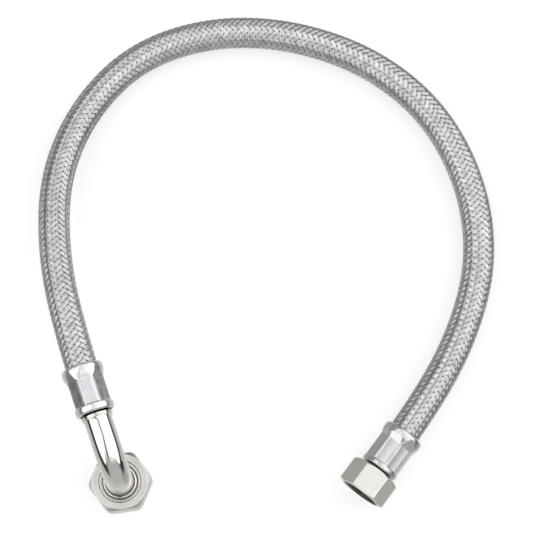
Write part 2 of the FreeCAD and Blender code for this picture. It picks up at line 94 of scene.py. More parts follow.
LINE = np.array([v.co for v in line_mesh.vertices], float)
bpy.data.objects.remove(line_object)
bpy.data.meshes.remove(line_mesh)
STEPS = np.r_[0, np.cumsum(np.linalg.norm(np.diff(LINE, axis=0), axis=1))]
HOSE_LENGTH = float(STEPS[-1])


def transport(points):
    """Unit side and top directions at each point of a line, carried along without twist."""
    tangent = np.gradient(points, axis=0)
    tangent /= np.linalg.norm(tangent, axis=1)[:, None]
    top = np.zeros_like(points)
    top[0] = (0, 0, 1)
    for i in range(1, len(points)):
        t = top[i - 1] - tangent[i] * (top[i - 1] @ tangent[i])
        top[i] = t / np.linalg.norm(t)
    return np.cross(tangent, top), top


SIDE, TOP = transport(LINE)


def on_hose(s, theta, radius):
    """Points at distance s along the hose, angle theta about it and radius from its line, in mm."""
    s = np.asarray(s) * MM
    at, side, top = (np.stack([np.interp(s, STEPS, table[:, k]) for k in range(3)], -1)
                     for table in (LINE, SIDE, TOP))
    ring = side * np.sin(theta)[..., None] + top * np.cos(theta)[..., None]
    return at + ring * (np.asarray(radius) * MM)[..., None]


# ---------------------------------------------------------------- mesh helpers
def signed_volume(points, faces):
    a, b, c, d = (points[faces[:, k]] for k in range(4))
    first = np.einsum("ij,ij->i", a, np.cross(b, c))
    second = np.einsum("ij,ij->i", a, np.cross(c, d))
    return float((first + second).sum() / 6)


def quad_piece(name, points, faces, body, material, uv=None, place=None):
    """A smooth mesh piece from vertex and quad arrays, facing outwards, riding on a body."""
    if signed_volume(points, faces) < 0:
        faces = faces[:, ::-1]
    mesh = bpy.data.meshes.new(name)
    mesh.vertices.add(len(points))
    mesh.vertices.foreach_set("co", points.astype(np.float32).ravel())
    mesh.loops.add(faces.size)
    mesh.loops.foreach_set("vertex_index", faces.ravel().astype(np.int32))
    mesh.polygons.add(len(faces))
    mesh.polygons.foreach_set("loop_start", np.arange(0, faces.size, 4, dtype=np.int32))
    if uv is not None:
        layer = mesh.uv_layers.new(name="grain")
        layer.data.foreach_set("uv", uv[faces.ravel()].astype(np.float32).ravel())
    mesh.update(calc_edges=True)
    mesh.validate()
    mesh.shade_smooth()
    piece = bpy.data.objects.new(name, mesh)
    scene.collection.objects.link(piece)
    if place is not None:
        piece.matrix_world = place
    mesh.materials.append(material)
    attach(piece, body)
    return piece


def round_grid(r, theta, z):
    """Points in metres of a grid given by radius, angle and height in mm."""
    return np.stack([r * np.cos(theta), r * np.sin(theta), z + 0 * r], -1).reshape(-1, 3) * MM


def torus_faces(rows, columns):
    """Quads of a grid that closes on itself both ways."""
    i, j = np.meshgrid(np.arange(rows), np.arange(columns), indexing="ij")
    i2, j2 = (i + 1) % rows, (j + 1) % columns
    corners = [i * columns + j, i2 * columns + j, i2 * columns + j2, i * columns + j2]
    return np.stack(corners, -1).reshape(-1, 4)


def tube_faces(rows, columns):
    """Quads of a tube of rows x columns, closed round its columns, with no caps."""
    i, j = np.meshgrid(np.arange(rows - 1), np.arange(columns), indexing="ij")
    j2 = (j + 1) % columns
    corners = [i * columns + j, (i + 1) * columns + j, (i + 1) * columns + j2, i * columns + j2]
    return np.stack(corners, -1).reshape(-1, 4)


def full_turn(columns):
    return np.linspace(0, 2 * np.pi, columns, endpoint=False)


def smooth_min(a, b, soft):
    """The smaller of two values, with the crease between them rounded over a distance."""
    h = np.clip(0.5 + 0.5 * (b - a) / soft, 0, 1)
    return b + (a - b) * h - soft * h * (1 - h)


def smooth_step(x, low, high):
    t = np.clip((x - low) / (high - low), 0, 1)
    return t * t * (3 - 2 * t)


def along_profile(heights, profile):
    """The second value of a (height, value) profile at each height."""
    return np.interp(heights, *zip(*profile))


def eased(profile, size, cuts=5):
    """A closed (r, z) profile with each corner eased by a small curve, in mm."""
    profile = np.array(profile, float)
    longest = 0.45           # how much of an edge one corner's curve may take
    points = []
    for i, corner in enumerate(profile):
        before, after = profile[i - 1] - corner, profile[(i + 1) % len(profile)] - corner
        reach_b = min(size, np.linalg.norm(before) * longest)
        reach_a = min(size, np.linalg.norm(after) * longest)
        start = corner + before / np.linalg.norm(before) * reach_b
        end = corner + after / np.linalg.norm(after) * reach_a
        for t in np.linspace(0, 1, cuts):
            points.append((1 - t) ** 2 * start + 2 * t * (1 - t) * corner + t * t * end)
    return np.array(points)


def turned(name, profile, body, material, place, columns=128, size=0.25):
    """A turned piece: a closed (r, z) profile in mm, eased and revolved about local Z."""
    rz = eased(profile, size)
    r, z = rz[:, 0][:, None], rz[:, 1][:, None]
    theta = full_turn(columns)
    grid = round_grid(r + 0 * theta, theta, z + 0 * theta)
    return quad_piece(name, grid, torus_faces(len(rz), columns), body, material, place=place)


# ---------------------------------------------------------------- places, in mm
LEG_HEIGHT = 40.0            # the elbow's level leg above the elbow nut's mouth
ELBOW_SLEEVE_AT = 35.2       # from the elbow nut's axis to its ferrule's fitting end
ELBOW_SLEEVE_LENGTH = 26.0
STRAIGHT_SLEEVE_AT = 16.0    # from the straight nut's mouth to its ferrule's fitting end
STRAIGHT_SLEEVE_LENGTH = 24.7
HOSE_END_AT = 1.8            # from a ferrule's fitting end to the hose's end inside it

ELBOW_WAY = Vector((-0.342, 1, 0)).normalized()
STRAIGHT_WAY = Vector((0.6, 0.8, 0)).normalized()
LEG_START = Vector((0, 0, LEG_HEIGHT))
MOUTH = Vector(ROUTE[-1]) / MM - STRAIGHT_WAY * (STRAIGHT_SLEEVE_AT + HOSE_END_AT)


def heading(way):
    """Angle of a level direction about +Z, in radians."""
    return math.atan2(way.y, way.x)


def along(way, base, spin=0.0):
    """Matrix that lays local +Z along a level direction, after a spin in degrees about it."""
    turn = Matrix.Rotation(heading(way), 4, "Z")
    lay = Matrix.Rotation(math.pi / 2, 4, "Y")
    twist = Matrix.Rotation(math.radians(spin), 4, "Z")
    return Matrix.Translation(base * MM) @ turn @ lay @ twist


def upright(spin=0.0):
    """Matrix that keeps local +Z vertical, after a spin in degrees."""
    return Matrix.Rotation(math.radians(spin), 4, "Z")


# ---------------------------------------------------------------- materials
def nodes_of(name):
    material = bpy.data.materials.new(name)
    material.use_nodes = True
    tree = material.node_tree
    tree.nodes.clear()
    output = tree.nodes.new("ShaderNodeOutputMaterial")
    shader = tree.nodes.new("ShaderNodeBsdfPrincipled")
    tree.links.new(shader.outputs[0], output.inputs[0])
    return material, tree, shader


def add(tree, kind, links=None, **values):
    """A node with input values and links by socket name, and its own settings."""
    node = tree.nodes.new(kind)
    for key, value in values.items():
        if key in node.inputs:
            node.inputs[key].default_value = value
        else:
            setattr(node, key, value)
    for socket, source in (links or {}).items():
        tree.links.new(source, node.inputs[socket])
    return node


def stretched(tree, source, scale):
    mapping = add(tree, "ShaderNodeMapping", {"Vector": source})
    mapping.inputs["Scale"].default_value = scale
    return mapping.outputs[0]


def ramp(tree, source, low, high, start=0.3, stop=0.7):
    """Two colours blended by a value."""
    node = add(tree, "ShaderNodeValToRGB", {"Fac": source})
    node.color_ramp.elements[0].position = start
    node.color_ramp.elements[1].position = stop
    for element, colour in zip(node.color_ramp.elements, (low, high)):
        element.color = (*colour, 1)
    return node.outputs[0]


def span(tree, source, low, high, start=0.0, stop=1.0, **settings):
    """A value's range from start to stop mapped to one from low to high."""
    node = add(tree, "ShaderNodeMapRange", {"Value": source}, **settings)
    node.inputs["From Min"].default_value = start
    node.inputs["From Max"].default_value = stop
    node.inputs["To Min"].default_value = low
    node.inputs["To Max"].default_value = high
    return node.outputs[0]


def darker(tree, source, tone, radii, heights, shade):
    """The tone with painted shade: darker between two radii about local Z and two heights along it,
    in metres.
    """
    parts = add(tree, "ShaderNodeSeparateXYZ", {"Vector": source})
    flat = add(tree, "ShaderNodeCombineXYZ", {"X": parts.outputs[0], "Y": parts.outputs[1]})
    reach = add(tree, "ShaderNodeVectorMath", {0: flat.outputs[0]}, operation="LENGTH")
    inside = None
    for value, (low, high) in ((reach.outputs["Value"], radii), (parts.outputs[2], heights)):
        for operation, limit in (("GREATER_THAN", low), ("LESS_THAN", high)):
            test = add(tree, "ShaderNodeMath", {0: value}, operation=operation)
            test.inputs[1].default_value = limit
            if inside is None:
                inside = test.outputs[0]
            else:
                both = add(tree, "ShaderNodeMath", {0: inside, 1: test.outputs[0]},
                           operation="MULTIPLY")
                inside = both.outputs[0]
    scaled = add(tree, "ShaderNodeVectorMath", {0: tone}, operation="SCALE")
    tree.links.new(span(tree, inside, 1.0, shade), scaled.inputs["Scale"])
    return scaled.outputs[0]


def metal(name, dull, bright, rough, grain, relief, patches=60.0, cut=(1, 1, 1), uv=False,
          shades=()):
    """A plated or bare metal: patchy tone, uneven polish and a fine tooled grain.

    Each of the shades is a shell (radii, heights) about local Z where shade is painted, with how dark
    its tone is.
    """
    material, tree, shader = nodes_of(name)
    coords = add(tree, "ShaderNodeTexCoord")
    source = coords.outputs["UV" if uv else "Object"]
    cloud = add(tree, "ShaderNodeTexNoise", {"Vector": coords.outputs["Object"]},
                Scale=patches, Detail=4.0, Roughness=0.6)
    fine = add(tree, "ShaderNodeTexNoise", {"Vector": stretched(tree, source, cut)},
               Scale=grain, Detail=3.0, Roughness=0.55)
    tone = ramp(tree, cloud.outputs[0], dull, bright)
    # Painted shade: each shell's tone is darkened where shade falls.
    for radii, heights, shade in shades:
        tone = darker(tree, coords.outputs["Object"], tone, radii, heights, shade)
    tree.links.new(tone, shader.inputs["Base Color"])
    mixed = add(tree, "ShaderNodeMath", {0: cloud.outputs[0], 1: fine.outputs[0]},
                operation="MULTIPLY")
    tree.links.new(span(tree, mixed.outputs[0], rough[0], rough[1], 0.1, 0.45),
                   shader.inputs["Roughness"])
    bump = add(tree, "ShaderNodeBump", {"Height": fine.outputs[0]},
               Strength=relief[0], Distance=relief[1])
    tree.links.new(bump.outputs[0], shader.inputs["Normal"])
    shader.inputs["Metallic"].default_value = 1.0
    return material


def rubber(name, dark, light, grain):
    """A matt rubber with a fine mottled grain."""
    material, tree, shader = nodes_of(name)
    coords = add(tree, "ShaderNodeTexCoord")
    noise = add(tree, "ShaderNodeTexNoise", {"Vector": coords.outputs["Object"]},
                Scale=grain, Detail=5.0, Roughness=0.6)
    tree.links.new(ramp(tree, noise.outputs[0], dark, light), shader.inputs["Base Color"])
    tree.links.new(span(tree, noise.outputs[0], 0.55, 0.8), shader.inputs["Roughness"])
    bump = add(tree, "ShaderNodeBump", {"Height": noise.outputs[0]},
               Strength=0.3, Distance=0.00005)
    tree.links.new(bump.outputs[0], shader.inputs["Normal"])
    return material


ANY = (-1, 1)                            # every height of a piece
# Painted shade inside a ferrule's bore and lip.
SLEEVE_BORE_SHADE = (-1, 0.0089)               # radii of a ferrule's bore, short of its bell
# Painted shade in the shank's socket, bore, neck and barbs.
SHANK_INSIDE_SHADE = (-1, 0.0077)              # radii of the shank's socket, bore, neck and barbs
# Partly a dark braze joint and partly painted shade in the crease where the tube meets the collar; it
# also darkens the collar's bore.
BRAZE_TINT_AND_SHADE = (-1, 0.0083)                     # radii of the braze round the tube, on the collar's top
# Painted shade in the straight nut's thread and relief. The elbow nut has no surface there.
THREAD_SHADE, THREAD_SHADE_HEIGHTS = (-1, 0.0109), (-1, 0.0115)
# Painted shade on the chamfer and in the groove on the elbow nut's back. The straight nut is too
# short to reach them.
CHAMFER_SHADE, CHAMFER_SHADE_HEIGHTS = (0.01478, 1), (0.0154, 1)
GROOVE_SHADE, GROOVE_SHADE_HEIGHTS = (0.0109, 0.0116), (0.01495, 0.0163)

braid_wire = metal("braid_wire", (0.52, 0.52, 0.515), (0.80, 0.80, 0.79), (0.10, 0.26),
                   grain=3.0, relief=(0.5, 0.00003), patches=260.0, cut=(0.4, 14.0, 1.0), uv=True)
# Both ferrules carry painted shade in their bores.
ferrule_bright = metal("ferrule_bright", (0.83, 0.84, 0.865), (0.915, 0.925, 0.95),
                       (0.23, 0.33), grain=900.0, relief=(0.07, 0.00001), patches=220.0,
                       cut=(1, 1, 0.12), shades=[(SLEEVE_BORE_SHADE, ANY, 0.2)])
ferrule_steel = metal("ferrule_steel", (0.67, 0.685, 0.695), (0.76, 0.775, 0.785),
                      (0.21, 0.31), grain=900.0, relief=(0.10, 0.00001), patches=220.0,
                      cut=(1, 1, 0.12), shades=[(SLEEVE_BORE_SHADE, ANY, 0.2)])
# The shank carries painted shade in its neck gap and bore.
shank_chrome = metal("shank_chrome", (0.82, 0.81, 0.79), (0.92, 0.91, 0.89), (0.04, 0.10),
                     grain=1200.0, relief=(0.03, 0.00001), patches=160.0,
                     shades=[(SHANK_INSIDE_SHADE, ANY, 0.12)])
tube_chrome = metal("tube_chrome", (0.86, 0.855, 0.84), (0.93, 0.925, 0.91), (0.02, 0.07),
                    grain=500.0, relief=(0.012, 0.00001), patches=120.0)
# The collar's braze is darker: part joint tint, part painted shade.
collar_chrome = metal("collar_chrome", (0.82, 0.81, 0.79), (0.92, 0.91, 0.89), (0.04, 0.12),
                      grain=1200.0, relief=(0.03, 0.00001), patches=160.0, cut=(0.2, 0.2, 1),
                      shades=[(BRAZE_TINT_AND_SHADE, ANY, 0.3)])
# Painted shade in the straight nut's thread, on the elbow nut's chamfer and in its groove.
nut_nickel = metal("nut_nickel", (0.82, 0.80, 0.775), (0.88, 0.86, 0.835), (0.27, 0.35),
                   grain=2600.0, relief=(0.08, 0.00001), patches=150.0,
                   shades=[(THREAD_SHADE, THREAD_SHADE_HEIGHTS, 0.22),
                           (CHAMFER_SHADE, CHAMFER_SHADE_HEIGHTS, 0.62),
                           (GROOVE_SHADE, GROOVE_SHADE_HEIGHTS, 0.08)])
tail_nickel = metal("tail_nickel", (0.70, 0.68, 0.64), (0.80, 0.78, 0.74), (0.12, 0.3),
                    grain=1500.0, relief=(0.1, 0.00001), patches=200.0)
liner_rubber = rubber("liner_rubber", (0.012, 0.012, 0.012), (0.03, 0.03, 0.03), 900.0)
gasket_rubber = rubber("gasket_rubber", (0.02, 0.02, 0.02), (0.045, 0.043, 0.04), 700.0)

# ---------------------------------------------------------------- the woven hose
CARRIERS = 12            # bundles each way round
TURN = 40.0              # one bundle's lead, in mm
CELL = TURN / (2 * CARRIERS)
WEAVE_RADIUS = 8.31
WEAVE_RISE = 0.18        # how far a bundle rises above and dips below that radius
CROWN = 0.18             # share of that rise which a bundle loses towards its dives
WIRES = 4
WIRE_RIDGES = (0.0, 0.125, 0.17, 0.125)
WIRE_SAG = 0.16          # how much lower a bundle's outer wires lie
BUNDLE_DEPTH = 0.2       # from the foot of the wires' ridges to a bundle's flat underside
HALF_WIDTH = 0.43        # of a bundle, as a share of the distance between bundles
BARE_END = 1.0           # liner that the braid leaves bare at each end, in mm
DIVE = 0.22              # half the length of a dive, in crossings
DIVE_KNOTS = (-DIVE, -0.08, 0.08, DIVE)
CREST_KNOTS = (-0.35, 0.35)
PERIOD = 4               # crossings from one dive to the next of its kind: two over, two under
KNOTS = np.sort([middle + knot
                 for middles, knots in (((-0.5, 1.5), DIVE_KNOTS), ((0.5, 2.5), CREST_KNOTS))
                 for middle in middles for knot in knots])


def weave(z):
    """Height of a bundle, from -1 under to 1 over, two over and two under."""
    z = np.mod(z + 0.5, PERIOD) - 0.5
    up, down, back = (smooth_step(z, middle - DIVE, middle + DIVE) for middle in (-0.5, 1.5, 3.5))
    level = up - down + back
    off_crest = (np.mod(z + 0.5, 2) - 1.0) / 0.8
    return (2 * level - 1) * (1 - CROWN * np.clip(off_crest ** 2, 0, 1))


def bundle_section():
    """Offsets across a bundle and heights: wire crests on top, and a flat underside."""
    steps = WIRES * len(WIRE_RIDGES)
    across = np.linspace(-HALF_WIDTH, HALF_WIDTH, steps + 1)
    ridge = np.choose(np.mod(np.arange(steps + 1), len(WIRE_RIDGES)), WIRE_RIDGES)
    heights = ridge - WIRE_SAG * (across / HALF_WIDTH) ** 2
    heights[[0, -1]] -= 0.05
    across = np.r_[across, 0.9 * HALF_WIDTH, -0.9 * HALF_WIDTH]
    heights = np.r_[heights, -BUNDLE_DEPTH, -BUNDLE_DEPTH]
    return across, heights


def knots_for(number, hand, first, last):
    """Where a bundle has cross-sections: close together where it dives, and sparse between."""
    low, high = (number + first, number + last) if hand > 0 else (number - last, number - first)
    start = PERIOD * math.floor((low + number) / PERIOD) - PERIOD - number
    count = int((high - low) / PERIOD) + 4
    knots = np.concatenate([start + PERIOD * k + KNOTS for k in range(count)])
    return knots[(knots > low) & (knots < high)]


def bundle(number, hand):
    """Vertices, quads and grain coordinates of one bundle, wound one way round."""
    across, heights = bundle_section()
    first = BARE_END / CELL
    last = (HOSE_LENGTH / MM - BARE_END) / CELL
    run = knots_for(number, hand, first, last)[:, None]
    own = number + across[None, :]
    run, own = run + 0 * own, own + 0 * run
    lift = hand * weave(run + number)
    s = (run - own) * hand * CELL
    theta = (run + own) * math.pi / CARRIERS
    radius = WEAVE_RADIUS + WEAVE_RISE * lift + heights[None, :]
    points = on_hose(s, theta, radius)
    uv = np.stack([s / TURN + number * 1.7, across[None, :] + 0 * s + number], -1)
    rows, columns = s.shape
    caps = []
    for row, order in ((0, 1), (rows - 1, -1)):
        ring = row * columns + np.arange(columns)
        for k in range(columns // 2):
            quad = [ring[k], ring[k + 1], ring[columns - 2 - k], ring[columns - 1 - k]]
            if len(set(quad)) == 4:
                caps.append(quad[::order])
    faces = np.vstack([tube_faces(rows, columns), np.array(caps)])
    return points.reshape(-1, 3), faces, uv.reshape(-1, 2)


def braid_piece(name, numbers, hand):
    """One mesh of several bundles that are wound the same way."""
    points, faces, uvs, start = [], [], [], 0
    for number in numbers:
        p, f, uv = bundle(number, hand)
        points.append(p)
        faces.append(f + start)
        uvs.append(uv)
        start += len(p)
    return quad_piece(name, np.vstack(points), np.vstack(faces), "hose",
                      braid_wire, uv=np.vstack(uvs))


GROUP = 4                # bundles in each mesh
braid = []
for hand, word in ((1, "right"), (-1, "left")):
    for group in range(CARRIERS // GROUP):
        numbers = range(group * GROUP, (group + 1) * GROUP)
        braid.append(braid_piece("wire_braid_%s_%d" % (word, group + 1), numbers, hand))
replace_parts(braid[0], "wire_braid")


def hose_liner(outside=7.95, inside=6.35, rows=420, columns=48):
    """Rubber tube under the braid, down the whole line outside and back up inside."""
    s = np.linspace(0, HOSE_LENGTH / MM, rows)
    theta = full_turn(columns)
    s_grid = np.concatenate([s, s[::-1]])[:, None] + 0 * theta
    radius = np.repeat([outside, inside], rows)[:, None] + 0 * theta
    points = on_hose(s_grid, theta[None, :] + 0 * s_grid, radius)
    faces = torus_faces(2 * rows, columns)
    return quad_piece("inner_liner_tube", points.reshape(-1, 3), faces,
                      "hose", liner_rubber)


liner = hose_liner()
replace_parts(liner, "inner_liner")

# ---------------------------------------------------------------- ferrules, in mm
FULL_SLEEVE = 27.0       # length of the profiles below
SHOULDER_END = 5.6       # a shorter sleeve loses its length between the fitting end and here
SLEEVE_BODY = [(0, 10.5), (4.4, 10.52), (SHOULDER_END, 10.03), (18.9, 10.03), (22.8, 11.3),
               (25.1, 11.3), (26.4, 10.95), (27.0, 9.95)]
SLEEVE_FLATS = [(0, 12.4), (4.8, 10.7), (SHOULDER_END, 9.6), (19.3, 9.6), (21.3, 10.60),
                (22.8, 11.12), (24.6, 11.32), (27, 13)]
SLEEVE_INSIDE = [(27.0, 9.2), (26.6, 8.9), (26.2, 8.95), (25.2, 10.0), (23.4, 10.4), (19.2, 8.75),
                 (12.0, 8.72), (6.0, 8.72), (1.5, 8.7), (1.4, 7.2), (1.2, 7.15), (0.9, 7.2),
                 (0.8, 8.3), (0.2, 8.4)]
FACETS = 8
END_ROUND = 1.6          # rounding of the fitting end
CREASE = 0.10            # rounding where a flat meets the sleeve
RIB = 0.26               # height of the rib between two flats
RIB_SPREAD = math.radians(2.5)
DISH_SPREAD = math.radians(19)


def ferrule(name, place, node, material, length, hollow):
    """Crimped sleeve: local Z from its fitting end to its hose end, with eight pressed flats."""
    theta = full_turn(256)
    outer_z = np.concatenate([
        np.linspace(0, 0.6, 8), np.linspace(0.8, 4.2, 14), np.linspace(4.4, 6.4, 16),
        np.linspace(7.0, 18.0, 14), np.linspace(18.2, 25.0, 34), np.linspace(25.2, 27.0, 12)])
    body = along_profile(outer_z, SLEEVE_BODY)
    kernel = np.array([1, 2, 3, 2, 1]) / 9
    padded = np.r_[body[:1], body[:1], body, body[-1:], body[-1:]]
    body = np.convolve(padded, kernel, "valid")
    from_end = np.clip((END_ROUND - outer_z) / END_ROUND, 0, 1)
    body = body - END_ROUND * 0.92 * (1 - np.sqrt(1 - from_end ** 2))
    facet = 2 * np.pi / FACETS
    phi = np.mod(theta + facet / 2, facet) - facet / 2
    dish = hollow * np.clip(1 - (phi / DISH_SPREAD) ** 2, 0, 1)
    flats = along_profile(outer_z, SLEEVE_FLATS)[:, None] / np.cos(phi)[None, :] - dish[None, :]
    rib = np.exp(-((np.abs(phi) - facet / 2) / RIB_SPREAD) ** 2)
    pressed = smooth_step(outer_z, 4.4, 5.8) * (1 - smooth_step(outer_z, 18.7, 20.5))
    outer = smooth_min(body[:, None] + 0 * flats, flats, CREASE)
    outer = outer + RIB * pressed[:, None] * rib[None, :]
    inner_z, inner_r = np.array(SLEEVE_INSIDE).T
    shorter = FULL_SLEEVE - length
    z = np.interp(np.r_[outer_z, inner_z], [0, SHOULDER_END, FULL_SLEEVE],
                  [0, SHOULDER_END - shorter, length])
    r = np.vstack([outer, inner_r[:, None] + 0 * theta[None, :]])
    r[0] -= 0.12
    piece = quad_piece(name, round_grid(r, theta, z[:, None]), torus_faces(len(z), len(theta)),
                       "hose", material, place=place)
    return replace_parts(piece, node)


ferrule("elbow_ferrule_sleeve", along(ELBOW_WAY, LEG_START + ELBOW_WAY * ELBOW_SLEEVE_AT, 3.0),
        "elbow_ferrule", ferrule_bright, ELBOW_SLEEVE_LENGTH, hollow=0.03)
ferrule("straight_ferrule_sleeve",
        along(STRAIGHT_WAY, MOUTH + STRAIGHT_WAY * STRAIGHT_SLEEVE_AT, -9.5),
        "straight_ferrule", ferrule_steel, STRAIGHT_SLEEVE_LENGTH, hollow=0.14)

# ---------------------------------------------------------------- elbow tube and collar, in mm
BEND = 21.5              # centreline radius of the bend
TUBE_OUT, TUBE_IN = 7.5, 6.5
FOOT = 10.5              # height of the tube's lower end above the nut's mouth
REACH = 33.4             # from the nut's axis to the end of the level leg
FLARE = 0.42             # how much the tube widens where it enters the shank's ring


def elbow_tube():
    """Bent tube, swept along its own line: up, round the bend, and level into the ring."""
    rise = np.linspace(FOOT, LEG_HEIGHT - BEND, 20, endpoint=False)
    arc = np.linspace(0, math.pi / 2, 90)
    level = np.linspace(BEND, REACH, 32)[1:]
    u = np.r_[0 * rise, BEND - BEND * np.cos(arc), level]
    z = np.r_[rise, LEG_HEIGHT - BEND + BEND * np.sin(arc), LEG_HEIGHT + 0 * level]
    lean = np.r_[0 * rise, arc, math.pi / 2 + 0 * level]
    flare = np.where(lean >= math.pi / 2, FLARE * smooth_step(u, 31.2, 32.3), 0.0)
    radius = np.r_[TUBE_OUT + flare, np.full_like(flare, TUBE_IN)]
    u, z, lean = (np.concatenate([a, a[::-1]])[:, None] for a in (u, z, lean))
    theta = full_turn(128)
    across = radius[:, None] * np.cos(theta)
    up = radius[:, None] * np.sin(theta)
    grid = np.stack([u - up * np.cos(lean), across, z + up * np.sin(lean)], -1) * MM
    piece = quad_piece("elbow_tube_chrome", grid.reshape(-1, 3), torus_faces(len(u), len(theta)),
                       "hose", tube_chrome,
                       place=upright(math.degrees(heading(ELBOW_WAY))))
    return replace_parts(piece, "elbow_tube")


elbow_tube()

collar = turned("elbow_collar_ring", [
    (TUBE_OUT, FOOT), (11.3, FOOT), (11.7, 10.9), (11.7, 12.9), (9.5, 12.9), (9.5, 13.2),
    (9.0, 13.4), (9.0, 16.3), (8.7, 17.0), (8.1, 17.2), (8.0, 17.6), (TUBE_OUT, 18.2),
], "hose", collar_chrome, upright(), columns=160, size=0.2)
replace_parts(collar, "elbow_collar")

# ---------------------------------------------------------------- turned shanks, in mm
BORE = 5.0               # radius of the water way
ROOT, BARB = 5.9, 6.3    # radii between the barbs and over them
BARBS = 4
BARB_PITCH = 4.2
SHANK_REACH = 21.5       # length of shank inside the hose
STOP = 8.3               # radius of the flange that the hose butts against


def barbs(start):
    """Outside of the barbed stretch, from its flange to its end."""
    reach = start + SHANK_REACH
    corners = [(ROOT, start)]
    for k in reversed(range(BARBS)):
        peak = reach - 1.4 - k * BARB_PITCH
        if k < BARBS - 1:
            corners.append((ROOT, peak - 2.6))
        corners += [(ROOT, peak - 0.6), (BARB, peak)]
    return corners + [(ROOT - 0.3, reach), (BORE, reach)]


ELBOW_HOSE_AT = ELBOW_SLEEVE_AT + HOSE_END_AT
shank = turned("elbow_shank_ring", [
    (BORE, REACH), (TUBE_OUT, REACH), (TUBE_OUT, 32.3), (8.1, 32.3), (8.5, 32.6), (8.5, 33.2),
    (8.25, 33.3), (8.25, 33.5), (8.5, 33.6), (8.5, 34.1), (8.3, 34.3), (7.0, 34.3), (7.0, 36.2),
    (STOP, 36.2), (STOP, ELBOW_HOSE_AT),
] + barbs(ELBOW_HOSE_AT), "hose", shank_chrome, along(ELBOW_WAY, LEG_START),
    size=0.1)
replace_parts(shank, "elbow_shank")

STRAIGHT_HOSE_AT = STRAIGHT_SLEEVE_AT + HOSE_END_AT
tail = turned("straight_tail_neck", [
    (BORE, 9.4), (8.8, 9.4), (9.1, 9.7), (9.1, 11.5), (7.5, 11.5), (7.5, 15.4), (7.0, 15.7),
    (7.0, 17.0), (STOP, 17.0), (STOP, STRAIGHT_HOSE_AT),
] + barbs(STRAIGHT_HOSE_AT), "hose", tail_nickel, along(STRAIGHT_WAY, MOUTH))
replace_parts(tail, "straight_tail")

# ---------------------------------------------------------------- swivel nuts, in mm
# Widths across the flats and corners, height, the thread's minor and major diameters, the back
# wall's thickness, the diameters of its hole and of the flare round it, the height of the
# gasket's top, and the countersink at the mouth.
Nut = namedtuple("Nut", "flats corners height minor major web hole flare seat sink")
BIG_NUT = Nut(flats=30.0, corners=33.3, height=16.5, minor=24.117, major=26.441, web=3.5,
              hole=19.1, flare=22.4, seat=10.5, sink=0.8)
SMALL_NUT = Nut(flats=24.0, corners=27.5, height=14.9, minor=18.631, major=20.955, web=3.3,
                hole=15.1, flare=17.0, seat=9.4, sink=1.6)
PITCH = 1.814            # 14 threads to the inch
MOUTH_SLOPE = math.tan(math.radians(20))
BACK_SLOPE = math.tan(math.radians(30))
GROOVE_DEPTH = 1.6       # groove turned round the flare on the back
RELIEF = 0.1             # how far the relief goes past the thread's major radius


def nut_outside(size, theta, z):
    """Radius of a chamfered hexagon at each height and angle."""
    apothem = size.flats / 2
    planes = [apothem / np.maximum(np.cos(theta - math.radians(30 + 60 * k)), 0.2)
              for k in range(6)]
    hexagon = planes[0]
    for plane in planes[1:]:
        hexagon = smooth_min(hexagon, plane, 0.2)
    hexagon = smooth_min(hexagon, size.corners / 2 + 0 * hexagon, 0.3)
    mouth_cone = apothem - 0.5 + z / MOUTH_SLOPE
    back_cone = apothem - 0.2 + (size.height - z) / BACK_SLOPE
    cone = np.minimum(mouth_cone, back_cone)
    outer = smooth_min(hexagon[None, :] + 0 * cone[:, None], cone[:, None] + 0 * theta, 0.22)
    outer[[0, -1]] -= 0.12
    return outer


def back_rings(size):
    """Rings (radius, height) from the back face, over the flare and the hole, to the relief."""
    apothem, height, flare, hole = size.flats / 2, size.height, size.flare / 2, size.hole / 2
    drop = (flare - hole) * 0.8
    relief = size.major / 2 + RELIEF
    rings = [(r, height) for r in np.linspace(apothem - 0.6, flare + 0.3, 5)]
    rings += [
        (flare + 0.26, height - 0.02), (flare + 0.22, height - GROOVE_DEPTH),
        (flare - 0.16, height - GROOVE_DEPTH), (flare - 0.22, height - 0.12),
        ((flare + hole) / 2, height - drop / 2),
        (hole + 0.06, height - drop + 0.05), (hole, height - drop - 0.06),
        (hole, height - size.web + 0.06), (hole + 0.06, height - size.web),
        (size.major / 2, height - size.web), (relief, height - size.web - 0.1),
        (relief, thread_end(size) + 0.05),
    ]
    return rings


def thread_end(size):
    """Height where the thread runs out into its relief, below the gasket."""
    return size.seat - 2.3


def thread(size, theta):
    """Radii and heights of the helical thread, from the relief down to the countersink."""
    steps = int(thread_end(size) / PITCH * 14)
    level = np.linspace(thread_end(size), 0.1, steps)[:, None] + 0 * theta[None, :]
    phase = np.mod(level / PITCH - theta[None, :] / (2 * np.pi), 1)
    wave = np.clip((np.abs(phase - 0.5) * 2 - 0.2) / 0.6, 0, 1)
    cut = size.minor / 2 + (size.major - size.minor) / 2 * wave
    countersink = size.minor / 2 + np.clip(size.sink - level, 0, size.sink)
    return np.maximum(cut, countersink), level


